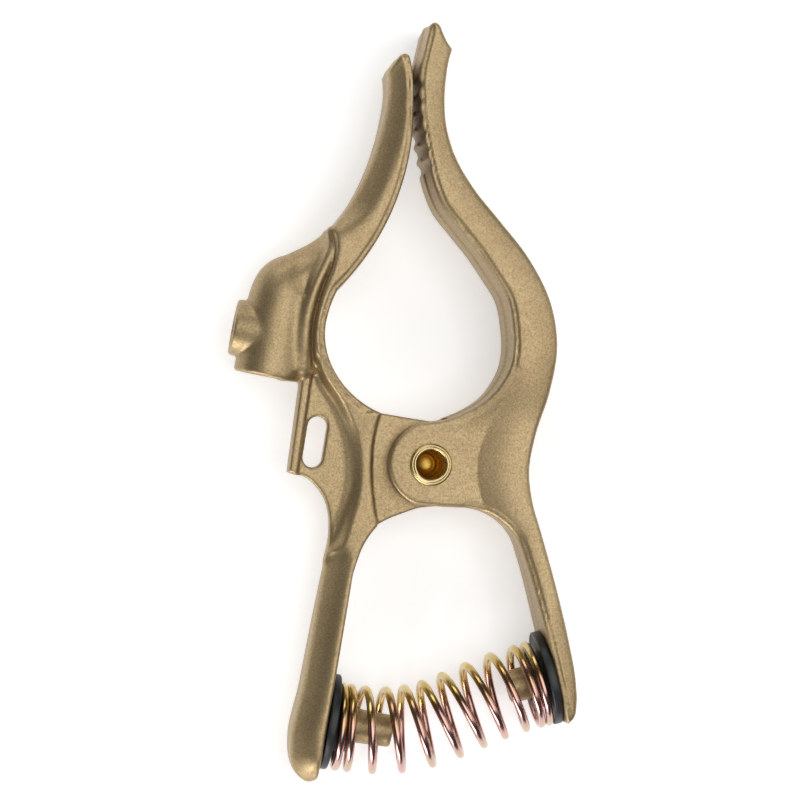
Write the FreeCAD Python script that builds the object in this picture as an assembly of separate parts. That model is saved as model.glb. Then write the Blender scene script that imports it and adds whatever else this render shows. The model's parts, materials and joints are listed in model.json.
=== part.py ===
import FreeCAD, Part
import math
import os

from FreeCAD import Vector

# Ground clamp lying on its side: the pivot axis is Z, the jaws point along +Y, all sizes in mm.

# Pivot joint
SHANK_R = 4.5
RUNNING_GAP = 0.05
RIVET_HOLE_R = 3.85
RIVET_HOLE_STEP_R = 2.95
RIVET_HOLE_STEP_Z = -4.5
RIVET_HOLE_FLOOR_Z = -6.8
RIVET_LIP_R = 5.8
RIVET_LIP_H = 1.4
RIVET_HEAD_R = 6.6
RIVET_HEAD_H = 1.5
EAR_R = 11.8
EAR_FACE_Z = 7.0
EAR_NOTCH_Y = 26.0
EAR_NOTCH_Z = 10.8
EAR_RISE_Y = 12.0
TONGUE_HALF = 2.4
FORK_GAP_HALF = 2.5
FORK_ROOT_R = 13.3

# Jaw teeth
TOOTH_PITCH = 4.3
TOOTH_COUNT = 6
TOOTH_DEPTH = 0.85
TOOTH_HALF_CHORD = 1.65
LEFT_TOOTH_BAND_HALF = 9.5

# Cable socket: a blind bore with a set-screw boss on its side
SOCKET_MOUTH = Vector(-44.7, 24.2, 0)
SOCKET_TILT_DEG = 11.0
SOCKET_OUTER_R = 9.1
SOCKET_BORE_R = 6.5
SOCKET_BORE_DEPTH = 26.0
SOCKET_BARREL_LENGTH = 20.0
SCREW_BOSS_ROOT_R = 8.7
SCREW_BOSS_R = 7.6
SCREW_BOSS_HEIGHT = 11.5
SCREW_BOSS_ALONG = 11.6
SCREW_HOLE_R = 5.0
SCREW_R = 4.95
SCREW_LENGTH = 4.6
SCREW_POINT_BACK = 6.3
HEX_ACROSS_FLATS = 5.0
HEX_DEPTH = 2.6

# Lug plate beside the socket
PLATE_HALF = 2.5
LIP_HALF = 4.6
SLOT_CENTRE = (-31.4, 6.2)
SLOT_WIDTH = 5.4
SLOT_LENGTH = 14.1
SLOT_TILT_DEG = 9.2

# Spring seats, posts, cups and spring
LEFT_SEAT = Vector(-28.4, -70.4, 0)
LEFT_SEAT_TILT_DEG = 10.0
RIGHT_SEAT = Vector(34.1, -59.1, 0)
RIGHT_SEAT_TILT_DEG = 13.5
LEFT_POST_LENGTH = 18.5
LEFT_POST_R = 5.0
LEFT_POST_END_R = 4.4
RIGHT_POST_LENGTH = 12.2
RIGHT_POST_R = 4.9
RIGHT_POST_END_R = 4.5
POST_ROOT_DEPTH = 2.0
CUP_FLANGE_R = 13.1
CUP_FLANGE_H = 2.2
CUP_HUB_R = 7.7
CUP_HUB_H = 6.6
CUP_BORE_R = 5.1
WIRE_R = 1.12
COIL_R = 11.0
SPRING_TURNS = 10.5
CLOSED_PITCH = 2.3
SPRING_END_PULL = 28.0
COIL_DROP = 1.0
POINTS_PER_TURN = 16

# Half depth of each arm along Y
LEFT_DEPTH = [(-92, 12.0), (-58, 12.0), (-35, 9.5), (-15, 5.5), (0, 4.6), (14, 5.5), (30, 9.0),
              (60, 11.2), (85, 12.4), (124, 12.4)]
RIGHT_DEPTH = [(-92, 12.0), (-58, 12.0), (-20, 11.4), (0, 11.3), (35, 11.3), (60, 11.6),
               (85, 12.4), (124, 12.4)]


def at(point, z=0.0):
    return Vector(point[0], point[1], z)


def spline(points):
    curve = Part.BSplineCurve()
    curve.interpolate([at(p) for p in points])
    return curve.toShape()


def line(start, end):
    return Part.makeLine(at(start), at(end))


def arc(start, middle, end):
    return Part.Arc(at(start), at(middle), at(end)).toShape()


def on_circle(centre, radius, degrees):
    turn = math.radians(degrees)
    return (centre[0] + radius * math.cos(turn), centre[1] + radius * math.sin(turn))


def plate(edges, half):
    """Closed outline in XY, extruded to +half and -half."""
    face = Part.Face(Part.Wire(Part.__sortEdges__(edges)))
    face.translate(Vector(0, 0, -half))
    return face.extrude(Vector(0, 0, 2 * half))


def depth_block(profile):
    """Solid with the given half depth along Y, wide enough for a whole arm."""
    upper = Part.BSplineCurve()
    upper.interpolate([Vector(-70, y, half) for y, half in profile])
    lower = Part.BSplineCurve()
    lower.interpolate([Vector(-70, y, -half) for y, half in profile])
    ends = [Part.makeLine(Vector(-70, y, -half), Vector(-70, y, half))
            for y, half in (profile[0], profile[-1])]
    edges = Part.__sortEdges__([upper.toShape(), lower.toShape()] + ends)
    return Part.Face(Part.Wire(edges)).extrude(Vector(130, 0, 0))


def cylinder(radius, base, direction, length):
    return Part.makeCylinder(radius, length, base, direction)


def tilted(degrees):
    """Unit vector that leans from +Y towards +X."""
    turn = math.radians(degrees)
    return Vector(math.sin(turn), math.cos(turn), 0)


SOCKET_UP = tilted(SOCKET_TILT_DEG)
SOCKET_OUT = Vector(-SOCKET_UP.y, SOCKET_UP.x, 0)
SOCKET_CROSSING = SOCKET_MOUTH + SOCKET_UP * SCREW_BOSS_ALONG
LEFT_SEAT_UP = tilted(LEFT_SEAT_TILT_DEG)
LEFT_SEAT_NORMAL = Vector(LEFT_SEAT_UP.y, -LEFT_SEAT_UP.x, 0)
RIGHT_SEAT_UP = tilted(-RIGHT_SEAT_TILT_DEG)
RIGHT_SEAT_NORMAL = Vector(-RIGHT_SEAT_UP.y, RIGHT_SEAT_UP.x, 0)


def tapered_post(seat, normal, root_r, end_r, length):
    """Cast spring post with a rounded end, rooted inside its handle."""
    root = seat - normal * POST_ROOT_DEPTH
    cone = Part.makeCone(root_r, end_r, length + POST_ROOT_DEPTH, root, normal)
    rims = [edge for edge in cone.Edges if len(edge.Vertexes) == 1]
    end_rims = [rim for rim in rims if (rim.Vertexes[0].Point - seat).dot(normal) > length / 2]
    return cone.makeFillet(1.2, end_rims)


def tooth_cutters(crest_line, side, half):
    """Round cutters across a jaw, one per tooth gap; side is +1 where the cutters lie towards +X."""
    radius = (TOOTH_HALF_CHORD ** 2 + TOOTH_DEPTH ** 2) / (2 * TOOTH_DEPTH)
    edge = spline(crest_line)
    cutters = []
    for tooth in range(TOOTH_COUNT):
        place = edge.getParameterByLength(1.2 + tooth * TOOTH_PITCH)
        point = edge.valueAt(place)
        along = edge.tangentAt(place)
        outward = Vector(-along.y, along.x, 0)
        if outward.x * side < 0:
            outward = outward * -1
        centre = point + outward * (radius - TOOTH_DEPTH)
        cutters.append(cylinder(radius, centre - Vector(0, 0, half), Vector(0, 0, 1), 2 * half))
    return cutters


def left_spine():
    """Jaw, band round the work opening and handle, as one full-depth outline."""
    tip = (-6.2, 111.3)
    tip_top = (-7.6, 112.1)
    tip_back = (-9.2, 111.3)
    bevel = (-12.2, 107.4)
    band_top = (-25.5, 47.5)
    band_end = (-13.4, 14.2)
    waist_end = (-14.2, -16.7)
    handle_top = LEFT_SEAT + LEFT_SEAT_UP * 41.0
    handle_end = LEFT_SEAT - LEFT_SEAT_UP * 13.2
    edges = [
        spline([tip, (-5.5, 108.4), (-5.0, 103.0), (-5.0, 97.0), (-5.5, 88.0), (-9.5, 72.0), (-12.6, 65.0),
                (-18.0, 56.2), band_top]),
        spline([band_top, (-27.8, 42.0), (-28.9, 36.0), (-27.9, 29.5), (-24.2, 22.6), (-18.9, 17.4),
                band_end]),
        arc(band_end, (-15.9, 0.0), waist_end),
        spline([waist_end, (-17.0, -20.1), (-18.7, -23.0), (-19.9, -26.0), handle_top]),
        line(handle_top, handle_end),
        spline([handle_end, (-31.4, -85.4), (-33.4, -86.3), (-36.4, -84.7), (-38.4, -80.7), (-38.7, -75.6),
                (-35.6, -61.0), (-31.9, -41.8), (-28.7, -26.0), (-25.3, -16.0), (-22.4, -6.0), (-22.6, 5.0),
                (-26.0, 15.5), (-31.0, 23.8), (-33.5, 32.5), (-33.4, 41.5), (-31.6, 50.0), (-29.5, 61.8),
                (-26.3, 65.8), (-23.1, 69.9), (-19.5, 76.2), (-15.8, 85.1), (-13.1, 95.0), (-12.0, 102.5),
                bevel]),
        line(bevel, tip_back),
        arc(tip_back, tip_top, tip),
    ]
    return plate(edges, 16).common(depth_block(LEFT_DEPTH))


def left_tongue():
    """Round hinge tongue that runs inside the fork."""
    top = on_circle((0, 0), EAR_R, 84)
    side = (EAR_R, 0)
    bottom = on_circle((0, 0), EAR_R, -92)
    edges = [
        spline([(-19, 15.0), (-13.0, 14.1), (-6.0, 12.9), top]),
        arc(top, side, bottom),
        spline([bottom, (-3.2, -12.2), (-6.5, -13.3), (-10.6, -14.8), (-14.8, -16.9), (-18.0, -18.6)]),
        line((-18.0, -18.6), (-19, 15.0)),
    ]
    return plate(edges, TONGUE_HALF)


def lug_plate():
    """Thin web below the socket, with its slot, and the raised lip down its free edge."""
    corner_top = (-34.9, 27.0)
    corner_low = (-38.9, -2.0)
    toe = (-36.3, -2.8)
    web = plate([
        line(corner_top, corner_low),
        line(corner_low, toe),
        spline([toe, (-33.4, -3.9), (-30.9, -6.3), (-28.8, -9.6), (-27.7, -13.6), (-27.6, -19.0),
                (-28.6, -26.5)]),
        line((-28.6, -26.5), (-24.0, -20.0)),
        line((-24.0, -20.0), (-20.0, 8.0)),
        line((-20.0, 8.0), (-31.5, 30.0)),
        line((-31.5, 30.0), corner_top),
    ], PLATE_HALF)
    lip = plate([
        line(corner_top, corner_low),
        line(corner_low, toe),
        line(toe, (-32.2, 27.6)),
        line((-32.2, 27.6), corner_top),
    ], LIP_HALF)
    return web.fuse(lip)


def lug_slot():
    half_run = (SLOT_LENGTH - SLOT_WIDTH) / 2
    along = tilted(SLOT_TILT_DEG)
    across = Vector(along.y, -along.x, 0)
    centre = at(SLOT_CENTRE, -20)
    radius = SLOT_WIDTH / 2
    top = centre + along * half_run
    bottom = centre - along * half_run
    wire = Part.Wire([
        Part.makeLine(bottom + across * radius, top + across * radius),
        Part.Arc(top + across * radius, top + along * radius, top - across * radius).toShape(),
        Part.makeLine(top - across * radius, bottom - across * radius),
        Part.Arc(bottom - across * radius, bottom - along * radius, bottom + across * radius).toShape(),
    ])
    return Part.Face(wire).extrude(Vector(0, 0, 40))


def ring(centre, normal, radius):
    return Part.Wire(Part.makeCircle(radius, centre, normal))


def socket():
    """Barrel, the shoulder that runs from it into the jaw, the web behind it and the set-screw boss."""
    barrel = cylinder(SOCKET_OUTER_R, SOCKET_MOUTH, SOCKET_UP, SOCKET_BARREL_LENGTH)
    barrel_top = SOCKET_MOUTH + SOCKET_UP * SOCKET_BARREL_LENGTH
    shoulder = Part.makeLoft([
        ring(barrel_top, SOCKET_UP, SOCKET_OUTER_R),
        ring(Vector(-39.2, 48.8, 0), tilted(28), 8.4),
        ring(Vector(-35.0, 52.7, 0), tilted(50), 6.4),
        ring(Vector(-30.5, 56.6, 0), tilted(48), 4.8),
        ring(Vector(-24.5, 62.3, 0), tilted(45), 3.5),
    ], True)
    web = plate([
        line((-44.0, 27.0), (-33.0, 25.5)),
        line((-33.0, 25.5), (-30.0, 44.0)),
        line((-30.0, 44.0), (-26.0, 57.0)),
        line((-26.0, 57.0), (-38.0, 50.0)),
        line((-38.0, 50.0), (-44.0, 27.0)),
    ], LIP_HALF)
    boss = Part.makeCone(SCREW_BOSS_ROOT_R, SCREW_BOSS_R, SCREW_BOSS_HEIGHT, SOCKET_CROSSING, SOCKET_OUT)
    return barrel.fuse([shoulder, web, boss])


def left_arm():
    arm = left_spine().fuse([left_tongue(), lug_plate(), socket()])
    post = tapered_post(LEFT_SEAT, LEFT_SEAT_NORMAL, LEFT_POST_R, LEFT_POST_END_R, LEFT_POST_LENGTH)
    arm = arm.fuse(post)
    fork_sweep = EAR_R + 1.2
    cuts = [
        cylinder(SHANK_R + RUNNING_GAP, Vector(0, 0, -20), Vector(0, 0, 1), 40),
        cylinder(fork_sweep, Vector(0, 0, TONGUE_HALF), Vector(0, 0, 1), 20),
        cylinder(fork_sweep, Vector(0, 0, -TONGUE_HALF), Vector(0, 0, -1), 20),
        cylinder(SOCKET_BORE_R, SOCKET_MOUTH - SOCKET_UP, SOCKET_UP, SOCKET_BORE_DEPTH + 1),
        cylinder(SCREW_HOLE_R, SOCKET_CROSSING, SOCKET_OUT, SCREW_BOSS_HEIGHT + 1),
        lug_slot(),
    ]
    face_line = [(-5.3, 105.5), (-5.0, 97.0), (-5.5, 88.0), (-7.7, 79.0)]
    return arm.cut(cuts + tooth_cutters(face_line, 1, LEFT_TOOTH_BAND_HALF)).removeSplitter()


def ear_relief():
    """Space over the flat hinge ear, as far as the slope up to the thick part of the arm."""
    crease = [(23.2, EAR_NOTCH_Y), (19.7, 17.4), (15.4, 9.4), (12.7, 0.5), (14.0, -9.4), (20.4, -20.0)]
    shoulder = [(23.6, EAR_NOTCH_Y), (23.6, 17.4), (21.6, 9.4), (19.4, 0.5), (20.5, -9.4), (26.0, -20.0)]
    levels = []
    for points, height in ((crease, EAR_FACE_Z), (shoulder, 11.5)):
        top, bottom = points[0], points[-1]
        edges = [
            spline(points),
            line(bottom, (60, bottom[1])),
            line((60, bottom[1]), (60, top[1])),
            line((60, top[1]), top),
        ]
        wire = Part.Wire(edges)
        wire.translate(Vector(0, 0, height))
        levels.append(wire)
    raised = Part.makeLoft(levels, True, True)
    side_view = [(-20.0, EAR_FACE_Z), (EAR_RISE_Y, EAR_FACE_Z), (EAR_NOTCH_Y, EAR_NOTCH_Z),
                 (EAR_NOTCH_Y, 11.5), (-20.0, 11.5), (-20.0, EAR_FACE_Z)]
    outline = Part.makePolygon([Vector(-17, y, z) for y, z in side_view])
    return Part.Face(outline).extrude(Vector(50, 0, 0)).cut(raised)


def right_arm():
    ear_top = on_circle((0, 0), EAR_R, 92)
    ear_side = (-EAR_R, 0)
    ear_bottom = on_circle((0, 0), EAR_R, -112)
    tip = (-1.4, 118.4)
    tip_top = (0.4, 120.6)
    tip_back = (2.4, 119.0)
    spur = (5.8, 113.3)
    handle_top = RIGHT_SEAT + RIGHT_SEAT_UP * 14.0
    handle_end = RIGHT_SEAT - RIGHT_SEAT_UP * 12.9
    edges = [
        arc(tip, tip_top, tip_back),
        spline([tip_back, (3.2, 117.2), (4.4, 115.0), spur]),
        spline([spur, (4.9, 110.4), (4.0, 105.0), (3.6, 98.6), (4.2, 91.8), (6.3, 84.8), (11.6, 75.6),
                (18.6, 67.1), (27.1, 56.3), (33.1, 44.2), (34.9, 32.8), (32.9, 19.8), (29.0, 7.6),
                (27.3, -2.0), (28.1, -9.8), (30.5, -18.5), (34.8, -34.6), (37.8, -47.4), (40.0, -60.0),
                (40.2, -65.4), (39.4, -69.6), handle_end]),
        line(handle_end, handle_top),
        spline([handle_top, (28.5, -36.3), (25.9, -27.1), (23.2, -20.0), (19.7, -16.1), (15.3, -13.4),
                (10.2, -12.0), (3.0, -11.7), ear_bottom]),
        arc(ear_bottom, ear_side, ear_top),
        spline([ear_top, (2.2, 12.0), (7.0, 13.4), (10.6, 15.0), (16.4, 19.2), (19.1, 22.8), (21.0, 26.6),
                (22.0, 32.2), (21.7, 38.0), (20.4, 44.8), (16.1, 52.0), (12.6, 57.2), (7.4, 63.7),
                (2.2, 70.5), (-0.3, 77.0), (-1.5, 82.0), (-2.7, 88.0), (-3.8, 95.0), (-4.2, 101.2),
                (-4.1, 106.6), (-3.2, 111.0), (-2.1, 115.4), tip]),
    ]
    arm = plate(edges, 16).common(depth_block(RIGHT_DEPTH))
    relief = ear_relief()
    gap_block = Part.makeBox(60, 80, 2 * FORK_GAP_HALF, Vector(-60, -40, -FORK_GAP_HALF))
    gap_floor = Vector(0, 0, -FORK_GAP_HALF)
    gap_root = cylinder(FORK_ROOT_R, gap_floor, Vector(0, 0, 1), 2 * FORK_GAP_HALF)
    cuts = [
        relief,
        relief.mirror(Vector(0, 0, 0), Vector(0, 0, 1)),
        gap_block,
        gap_root,
        cylinder(SHANK_R, Vector(0, 0, -20), Vector(0, 0, 1), 40),
    ]
    crest_line = [(-3.9, 104.2), (-4.2, 101.2), (-3.8, 95.0), (-2.7, 88.0), (-1.5, 82.0), (-0.3, 77.0)]
    arm = arm.cut(cuts + tooth_cutters(crest_line, -1, 16))
    post = tapered_post(RIGHT_SEAT, RIGHT_SEAT_NORMAL, RIGHT_POST_R, RIGHT_POST_END_R, RIGHT_POST_LENGTH)
    return arm.fuse(post).removeSplitter()


def pivot_rivet():
    """Semi-tubular rivet: solid domed head below, rolled lip above, stepped blind bore."""
    def spot(radius, height):
        return Vector(radius, 0, height)

    head_z = -EAR_FACE_Z
    dome_z = head_z - RIVET_HEAD_H
    lip_z = EAR_FACE_Z
    dome_middle = spot(RIVET_HEAD_R * 0.7, head_z - RIVET_HEAD_H * 0.8)
    dome = Part.Arc(spot(0, dome_z), dome_middle, spot(RIVET_HEAD_R, head_z))
    lip_middle = spot((RIVET_LIP_R + RIVET_HOLE_R) / 2, lip_z + RIVET_LIP_H)
    lip = Part.Arc(spot(RIVET_LIP_R, lip_z), lip_middle, spot(RIVET_HOLE_R, lip_z))
    shank = Part.makePolygon([
        spot(RIVET_HEAD_R, head_z), spot(SHANK_R, head_z), spot(SHANK_R, lip_z), spot(RIVET_LIP_R, lip_z)])
    bore = Part.makePolygon([
        spot(RIVET_HOLE_R, lip_z), spot(RIVET_HOLE_R, RIVET_HOLE_STEP_Z),
        spot(RIVET_HOLE_STEP_R, RIVET_HOLE_STEP_Z), spot(RIVET_HOLE_STEP_R, RIVET_HOLE_FLOOR_Z),
        spot(0, RIVET_HOLE_FLOOR_Z), spot(0, dome_z)])
    profile = Part.Wire([dome.toShape()] + shank.Edges + [lip.toShape()] + bore.Edges)
    return Part.Face(profile).revolve(Vector(0, 0, 0), Vector(0, 0, 1), 360)


def spring_cup(seat, normal):
    """Flanged cup over a post: the flange backs on the handle and the hub centres the coil."""
    flange = cylinder(CUP_FLANGE_R, seat, normal, CUP_FLANGE_H)
    flange = flange.makeFillet(0.6, [edge for edge in flange.Edges if len(edge.Vertexes) == 1])
    hub = cylinder(CUP_HUB_R, seat + normal * 0.5, normal, CUP_HUB_H - 0.5)
    bore = cylinder(CUP_BORE_R, seat - normal, normal, CUP_HUB_H + 2)
    return flange.fuse(hub).cut(bore).removeSplitter()


def spring_centreline():
    """Bowed line between the two cup faces; each end turn sits a little low on its hub."""
    rise = CUP_FLANGE_H + WIRE_R + 0.02
    start = LEFT_SEAT + LEFT_SEAT_NORMAL * rise - LEFT_SEAT_UP * COIL_DROP
    end = RIGHT_SEAT + RIGHT_SEAT_NORMAL * rise - RIGHT_SEAT_UP * COIL_DROP
    start_handle = start + LEFT_SEAT_NORMAL * SPRING_END_PULL
    end_handle = end + RIGHT_SEAT_NORMAL * SPRING_END_PULL
    curve = Part.BezierCurve()
    curve.setPoles([start, start_handle, end_handle, end])
    return curve.toShape()


def coil_advance():
    """Share of the spring's length reached at each sample: closed end turns, open middle."""
    steps = round(SPRING_TURNS * POINTS_PER_TURN)
    centre = spring_centreline()
    open_turns = SPRING_TURNS - 2
    open_pitch = (centre.Length - 2 * CLOSED_PITCH) / open_turns
    heights = [0.0]
    for step in range(steps):
        turn = (step + 0.5) / POINTS_PER_TURN
        from_end = min(turn, SPRING_TURNS - turn)
        openness = min(max((from_end - 0.95) / 1.1, 0.0), 1.0)
        pitch = CLOSED_PITCH + (open_pitch - CLOSED_PITCH) * openness
        heights.append(heights[-1] + pitch / POINTS_PER_TURN)
    return [height / heights[-1] for height in heights]


def compression_spring():
    centre = spring_centreline()
    points = []
    for step, share in enumerate(coil_advance()):
        place = centre.getParameterByLength(share * centre.Length)
        along = centre.tangentAt(place)
        side = Vector(-along.y, along.x, 0)
        turn = 2 * math.pi * step / POINTS_PER_TURN
        offset = side * math.cos(turn) + Vector(0, 0, math.sin(turn))
        points.append(centre.valueAt(place) + offset * COIL_R)
    path = Part.BSplineCurve()
    path.interpolate(points)
    edge = path.toShape()
    section = ring(points[0], edge.tangentAt(edge.FirstParameter), WIRE_R)
    return Part.Wire(edge).makePipeShell([section], True, True)


def cable_set_screw():
    """Socket set screw inside the side boss, its point flush with the cable bore."""
    point = SOCKET_CROSSING + SOCKET_OUT * SCREW_POINT_BACK
    body = cylinder(SCREW_R, point, SOCKET_OUT, SCREW_LENGTH)
    body = body.makeChamfer(0.6, [edge for edge in body.Edges if len(edge.Vertexes) == 1])
    corner_r = HEX_ACROSS_FLATS / math.sqrt(3)
    top = point + SOCKET_OUT * SCREW_LENGTH
    upright = Vector(0, 0, 1)
    corners = []
    for corner in range(7):
        turn = math.radians(60 * corner)
        corners.append(top + SOCKET_UP * (corner_r * math.cos(turn)) + upright * (corner_r * math.sin(turn)))
    hexagon = Part.Face(Part.makePolygon(corners)).extrude(SOCKET_OUT * -HEX_DEPTH)
    return body.cut(hexagon)


def build():
    return {
        "left_arm": left_arm(),
        "right_arm": right_arm(),
        "pivot_rivet": pivot_rivet(),
        "compression_spring": compression_spring(),
        "spring_cup_left": spring_cup(LEFT_SEAT, LEFT_SEAT_NORMAL),
        "spring_cup_right": spring_cup(RIGHT_SEAT, RIGHT_SEAT_NORMAL),
        "cable_set_screw": cable_set_screw(),
    }


os.makedirs("parts", exist_ok=True)
for name, shape in build().items():
    shape.exportStep("parts/" + name + ".step")
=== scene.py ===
import json
import math

import bpy
import numpy as np
from mathutils import Matrix, Vector


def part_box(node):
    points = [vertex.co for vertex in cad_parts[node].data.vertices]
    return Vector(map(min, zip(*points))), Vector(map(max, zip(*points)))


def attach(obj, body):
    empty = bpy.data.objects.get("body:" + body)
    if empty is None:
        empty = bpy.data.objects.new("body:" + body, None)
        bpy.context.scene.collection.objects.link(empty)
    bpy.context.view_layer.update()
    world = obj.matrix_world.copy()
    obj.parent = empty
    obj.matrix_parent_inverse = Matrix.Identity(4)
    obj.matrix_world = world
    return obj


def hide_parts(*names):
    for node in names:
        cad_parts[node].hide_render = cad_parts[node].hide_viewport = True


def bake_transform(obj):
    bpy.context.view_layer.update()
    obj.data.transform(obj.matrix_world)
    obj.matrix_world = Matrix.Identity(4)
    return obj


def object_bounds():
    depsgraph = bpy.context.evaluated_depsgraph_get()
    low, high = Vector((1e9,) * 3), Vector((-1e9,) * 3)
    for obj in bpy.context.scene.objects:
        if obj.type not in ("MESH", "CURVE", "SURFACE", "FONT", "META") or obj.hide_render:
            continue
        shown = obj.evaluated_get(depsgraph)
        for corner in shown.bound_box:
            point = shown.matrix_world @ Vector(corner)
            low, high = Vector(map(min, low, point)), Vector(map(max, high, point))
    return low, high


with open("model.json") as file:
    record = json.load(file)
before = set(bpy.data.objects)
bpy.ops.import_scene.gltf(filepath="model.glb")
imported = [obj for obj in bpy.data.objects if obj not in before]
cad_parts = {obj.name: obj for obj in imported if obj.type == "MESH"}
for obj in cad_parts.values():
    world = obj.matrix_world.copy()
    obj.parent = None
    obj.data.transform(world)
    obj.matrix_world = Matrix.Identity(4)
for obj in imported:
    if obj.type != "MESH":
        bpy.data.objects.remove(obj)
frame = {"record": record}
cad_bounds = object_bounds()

# Lengths in this script are millimetres in the shared frame until a mesh is made. Lights, the floor's
# reach and glow, and distances in materials are metres.
MM = 0.001
CELL = 0.47
CURVE_STEPS = 8

record = frame["record"]
mounts = {mount["name"]: mount for mount in record["mounts"]}
joints = {joint["name"]: joint for joint in record["behaviour"]["joints"]}


def box_mm(node):
    low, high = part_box(node)
    return np.array(low) / MM, np.array(high) / MM


# The pivot, the rivet's size, the bores and the slot's place come from the frame.
PIVOT = np.array(joints["jaw_hinge"]["pos_m"][:2]) / MM
RIVET_LOW, RIVET_HIGH = box_mm("pivot_rivet")
HOLE_R = mounts["pivot_bore"]["dims"]["r_mm"]
HOLE_DEPTH = mounts["pivot_bore"]["dims"]["length_mm"]
SOCKET_DOWN = np.array(mounts["cable_socket"]["axis"][:2])
SOCKET_BORE_R = mounts["cable_socket"]["dims"]["r_mm"]
SOCKET_DEPTH = mounts["cable_socket"]["dims"]["length_mm"]
SLOT_CENTRE = np.array(mounts["lug_slot"]["pos_m"][:2]) / MM

# Both castings. A depth is rows of y and half depth, and a crown is its width and its drop at the edge.
# A reach is where a shape eases in and out along y: its low end and fade, then its high end and fade.
DRAFT = math.tan(math.radians(1.6))
EDGE_ROUND = 1.1
PARTING_HEIGHT = 0.13
PARTING_WIDTH = 0.4
RIM_WIDTH = 1.5
RIM_CREASE = 0.5
RIM_CREASE_WIDTH = 0.38
RIM_SLOPE = 0.4
LEFT_DEPTH = [(-92, 12.0), (-58, 12.0), (-35, 9.5), (-15, 5.5), (0, 4.6), (14, 5.5), (30, 9.0),
              (60, 11.2), (85, 12.4), (124, 12.4)]
RIGHT_DEPTH = [(-92, 12.0), (-58, 12.0), (-24, 11.2), (-4, 9.9), (10, 9.9), (30, 11.2), (60, 11.6),
               (85, 12.4), (124, 12.4)]
LEFT_SEAT = np.array((-28.4, -70.4))
LEFT_TILT = math.radians(10.0)
RIGHT_SEAT = np.array((34.1, -59.1))
RIGHT_TILT = math.radians(-13.5)

# Hinge: the fork's ears, the tongue between them and the rivet's shank
EAR_R = 11.8
EAR_FACE = 7.0
EAR_NOTCH_Y = 26.0
EAR_RISE = 3.7
EAR_RISE_RUN = 20.0
EAR_RISE_LEAD = 0.92
EAR_SHOULDER_WIDTH = 14.0
EAR_CREASE_WIDTH = 0.6
RIM_ON_EAR = 0.35
TONGUE_HALF = 2.4
FORK_GAP_HALF = 2.5
FORK_ROOT_R = 13.3
SHANK_R = 4.5
RUNNING_GAP = 0.05

# Jaws: the right one has a small ledge where its mould halves met
TOOTH_PITCH = 4.3
TOOTH_COUNT = 6
TOOTH_DEPTH = 0.85
TOOTH_HALF_CHORD = 1.65
FIRST_TOOTH = 1.2
LEFT_TOOTH_HALF = 9.5
PAST_ANY_FACE = 40.0
PARTING_LEDGE = 0.35
PARTING_LEDGE_TOP = 1.4
PARTING_LEDGE_REACH = 4.0
JAW_CROWN = (7.5, 5.0)
JAW_CROWN_REACH = (58.0, 14.0, 116.0, 14.0)
OUTER_CROWN = (10.0, 1.6)

# Cable socket, its side boss and the raised cord beside it. CORD_HEIGHT is places in y and heights.
SOCKET_MOUTH = np.array((-44.7, 24.2))
SOCKET_R = 9.1
SOCKET_BARREL = 20.0
SHOULDER_START = 10.5
WEB_HALF = 6.6
WEB_EDGE = 2.2
WEB_FILLET = 3.0
CORD_R = 1.5
CORD_VALLEY = 0.5
CORD_FILLET = 2.6
CORD_HEIGHT = ([24.0, 32.0, 42.0, 50.0, 57.0, 64.0], [4.4, 6.6, 7.8, 8.2, 8.4, 7.4])
SIDE_BOSS_ROOT_R = 8.7
SIDE_BOSS_R = 7.6
SIDE_BOSS_OUT = 11.5
SIDE_BOSS_ALONG = 11.6
SIDE_HOLE_R = 5.0
BOSS_FILLET = 0.5

# Lug plate and the cable arm's handle. WAIST_SLOPE is places in y and the slope's widths there.
PLATE_HALF = 2.5
LIP_HALF = 4.3
SLOT_R = 2.7
SLOT_HALF_RUN = 4.35
SLOT_TILT = math.radians(9.2)
WAIST_SLOPE = ([8.0, 27.0], [4.3, 2.2])
WAIST_REACH = (-33.0, 16.0, 31.0, 6.0)
HANDLE_CROWN = (8.2, 5.4)
FOOT_STRETCHES = 2

# Spring, cups and the posts that hold them. A post is its root radius, end radius and length.
LEFT_POST = (5.0, 4.4, 18.5)
RIGHT_POST = (4.9, 4.5, 12.2)
POST_SUNK = 2.0
POST_FILLET = 1.2
CUP_FLANGE_R = 13.1
CUP_FLANGE_DEPTH = 2.2
CUP_HUB_R = 7.7
CUP_HUB_TOP = 6.6
CUP_BORE_R = 5.1
WIRE_R = 1.12
COIL_R = 11.0
TURNS = 10.5
CLOSED_PITCH = 2.3
CLOSED_TURNS = 0.95
OPENING_TURNS = 1.1
SPRING_CLEARANCE = 0.02
SPRING_END_PULL = 28.0
COIL_DROP = 1.0


# ---- Flat curves -------------------------------------------------------------------------------

def smooth_line(points, steps=CURVE_STEPS):
    """Points along a smooth curve through the given ones, whatever their spacing."""
    points = np.asarray(points, float)
    gaps = np.linalg.norm(np.diff(points, axis=0), axis=1)
    slopes = np.diff(points, axis=0) / gaps[:, None]
    middle = (slopes[:-1] * gaps[1:, None] + slopes[1:] * gaps[:-1, None]) / (gaps[:-1] + gaps[1:])[:, None]
    tangents = np.vstack([2 * slopes[0] - middle[0], middle, 2 * slopes[-1] - middle[-1]])
    t = np.linspace(0, 1, steps, endpoint=False)[:, None]
    pieces = []
    for start, end, leave, reach, gap in zip(points, points[1:], tangents, tangents[1:], gaps):
        pieces.append(start * (2 * t ** 3 - 3 * t ** 2 + 1) + leave * gap * (t ** 3 - 2 * t ** 2 + t)
                      + end * (3 * t ** 2 - 2 * t ** 3) + reach * gap * (t ** 3 - t ** 2))
    return np.vstack(pieces + [points[-1:]])


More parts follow.
